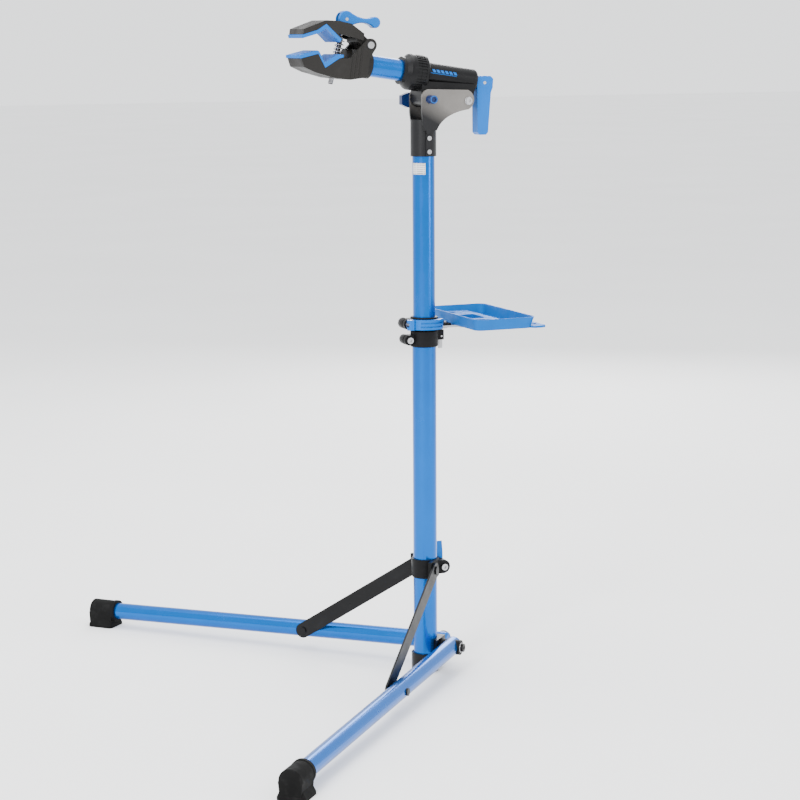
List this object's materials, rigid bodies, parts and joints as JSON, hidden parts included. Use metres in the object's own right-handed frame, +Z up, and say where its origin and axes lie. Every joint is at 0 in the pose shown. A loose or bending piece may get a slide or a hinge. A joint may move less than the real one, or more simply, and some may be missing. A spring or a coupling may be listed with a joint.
{
  "type": "bicycle repair stand",
  "caption": "Folding bicycle repair stand: upright with a height-adjustable mast, folding braced legs, tilting and turning clamp head with padded jaws, and a clamp-on tool tray.",
  "frame": {"origin": "centre of the upright's foot pad, on the floor", "axes": "+Z up the upright; -X towards the clamp jaws and between the legs; +X towards the tool tray"},
  "size_m": [0.6006, 1.0244, 1.055],
  "materials": {
    "blue_paint": "gloss",
    "black_paint": "satin",
    "grey_plate": "satin",
    "steel": "brushed",
    "chrome": "polished",
    "black_plastic": "moulded",
    "blue_plastic": "gloss",
    "grey_plastic": "moulded",
    "navy_plastic": "gloss",
    "dark_steel": "blackened",
    "rubber": "matte",
    "tray_plastic": "satin moulded"
  },
  "bodies": {
    "stand": {"lower_tube": "blue_paint", "base_pad": "rubber", "base_bracket": "black_paint", "leg_bolts": "black_paint", "guide_bush": "black_plastic", "height_collar": "black_plastic", "height_bolt": "steel", "height_nut": "black_plastic"},
    "near_leg": {"near_leg_tube": "blue_paint", "near_leg_plug": "blue_plastic", "near_leg_saddle": "black_plastic", "near_leg_foot": "rubber", "near_brace_rivet_low": "black_paint"},
    "far_leg": {"far_leg_tube": "blue_paint", "far_leg_plug": "blue_plastic", "far_leg_saddle": "black_plastic", "far_leg_foot": "rubber", "far_brace_rivet_low": "black_paint"},
    "near_brace": {"near_brace": "black_paint", "near_brace_rivet_top": "black_paint"},
    "far_brace": {"far_brace": "black_paint", "far_brace_rivet_top": "black_paint"},
    "slider": {"slider_collar": "black_plastic", "slider_bolt": "steel"},
    "slider_lever": {"slider_lever": "blue_plastic"},
    "height_lever": {"height_lever": "steel"},
    "mast_glide": {"glide_plug": "black_plastic"},
    "mast": {"upper_tube": "blue_paint", "near_head_shell": "grey_plate", "far_head_shell": "grey_plate", "head_screws": "steel", "tilt_axle": "steel", "tilt_nut": "navy_plastic", "stop_bolt": "steel"},
    "tilt_lever": {"tilt_lever": "navy_plastic"},
    "tray_slide": {"tray_liner": "black_plastic"},
    "tray": {"tray_ring": "black_plastic", "tray_skewer": "steel", "tray_nut": "black_plastic", "tray_arm": "steel", "tray_bolts": "steel", "tray": "tray_plastic", "tray_insert": "tray_plastic"},
    "tray_lever": {"tray_lever": "blue_plastic"},
    "arm": {"arm_housing": "black_paint", "draw_rod": "steel", "rear_pin": "steel"},
    "rear_lever": {"rear_lever": "blue_plastic"},
    "jaw_arm": {"arm_flange": "black_paint", "arm_tube": "blue_paint", "lower_jaw": "grey_plastic", "lower_pad": "blue_plastic", "jaw_pin": "steel", "rod_nut": "steel", "clamp_rod": "dark_steel", "cam_pin": "steel", "clamp_spring": "steel"},
    "upper_jaw": {"upper_jaw": "grey_plastic", "upper_pad": "blue_plastic"},
    "cam_lever": {"cam_lever": "blue_plastic"}
  },
  "joints": [
    {"name": "near_leg_fold", "type": "hinge", "parent": "stand", "child": "near_leg", "pos_m": [0.036, -0.022, 0.04], "axis": [-0.7254, 0.6884, 0], "range_deg": [0, 71]},
    {"name": "far_leg_fold", "type": "hinge", "parent": "stand", "child": "far_leg", "pos_m": [0.036, 0.022, 0.04], "axis": [0.7254, 0.6884, 0], "range_deg": [0, 71.1]},
    {"name": "near_brace_turn", "type": "hinge", "parent": "near_leg", "child": "near_brace", "pos_m": [-0.16047, -0.1691, 0.03505], "axis": [-0.7254, 0.6884, 0], "range_deg": [-115.92, 0]},
    {"name": "far_brace_turn", "type": "hinge", "parent": "far_leg", "child": "far_brace", "pos_m": [-0.16047, 0.1691, 0.03505], "axis": [0.7254, 0.6884, 0], "range_deg": [-115.92, 0]},
    {"name": "slider_travel", "type": "slide", "parent": "stand", "child": "slider", "axis": [0, 0, 1], "range_m": [0, 0.34273]},
    {"name": "slider_lever_flip", "type": "hinge", "parent": "slider", "child": "slider_lever", "pos_m": [0.029, 0.0172, 0.171], "axis": [-1, 0, 0], "range_deg": [0, 100]},
    {"name": "height_lever_swing", "type": "hinge", "parent": "stand", "child": "height_lever", "pos_m": [0.0275, 0, 0.546], "axis": [0, -1, 0], "range_deg": [0, 60]},
    {"name": "mast_height", "type": "slide", "parent": "stand", "child": "mast_glide", "axis": [0, 0, 1], "range_m": [-0.22, 0.21]},
    {"name": "mast_turn", "type": "hinge", "parent": "mast_glide", "child": "mast", "pos_m": [0, 0, 0.9], "axis": [0, 0, 1], "continuous": true},
    {"name": "tilt_lever_turn", "type": "hinge", "parent": "mast", "child": "tilt_lever", "pos_m": [0, 0.031, 0.9195], "axis": [0, 1, 0], "range_deg": [0, 60]},
    {"name": "tray_height", "type": "slide", "parent": "stand", "child": "tray_slide", "axis": [0, 0, 1], "range_m": [0, 0.22]},
    {"name": "tray_turn", "type": "hinge", "parent": "tray_slide", "child": "tray", "pos_m": [0, 0, 0.568], "axis": [0, 0, 1], "continuous": true},
    {"name": "tray_lever_open", "type": "hinge", "parent": "tray", "child": "tray_lever", "pos_m": [-0.0294, -0.0168, 0.568], "axis": [0, 0, -1], "range_deg": [0, 90]},
    {"name": "arm_tilt", "type": "hinge", "parent": "mast", "child": "arm", "pos_m": [0, 0, 0.9195], "axis": [0, -1, 0], "range_deg": [-0.5, 55]},
    {"name": "arm_rotate", "type": "hinge", "parent": "arm", "child": "jaw_arm", "pos_m": [0, 0, 0.9582], "axis": [-0.9893, 0, 0.1461], "continuous": true},
    {"name": "rear_lever_open", "type": "hinge", "parent": "arm", "child": "rear_lever", "pos_m": [0.1014, 0, 0.94323], "axis": [0, -1, 0], "range_deg": [0, 110]},
    {"name": "jaw_close", "type": "hinge", "parent": "jaw_arm", "child": "upper_jaw", "pos_m": [-0.09993, 0, 1.00298], "axis": [0, -1, 0], "range_deg": [0, 8], "stiffness_Nm_per_rad": 0.8, "springref_deg": -20.05},
    {"name": "cam_lever_flip", "type": "hinge", "parent": "jaw_arm", "child": "cam_lever", "pos_m": [-0.12961, 0, 1.04224], "axis": [0, -1, 0], "range_deg": [0, 100]}
  ],
  "couplings": [
    {"joint": "far_leg_fold", "follows": "near_leg_fold", "ratio": 1},
    {"joint": "slider_travel", "follows": "near_leg_fold", "m_per_rad": 0.27642},
    {"joint": "near_brace_turn", "follows": "near_leg_fold", "ratio": -1.6313},
    {"joint": "far_brace_turn", "follows": "near_leg_fold", "ratio": -1.6313}
  ]
}
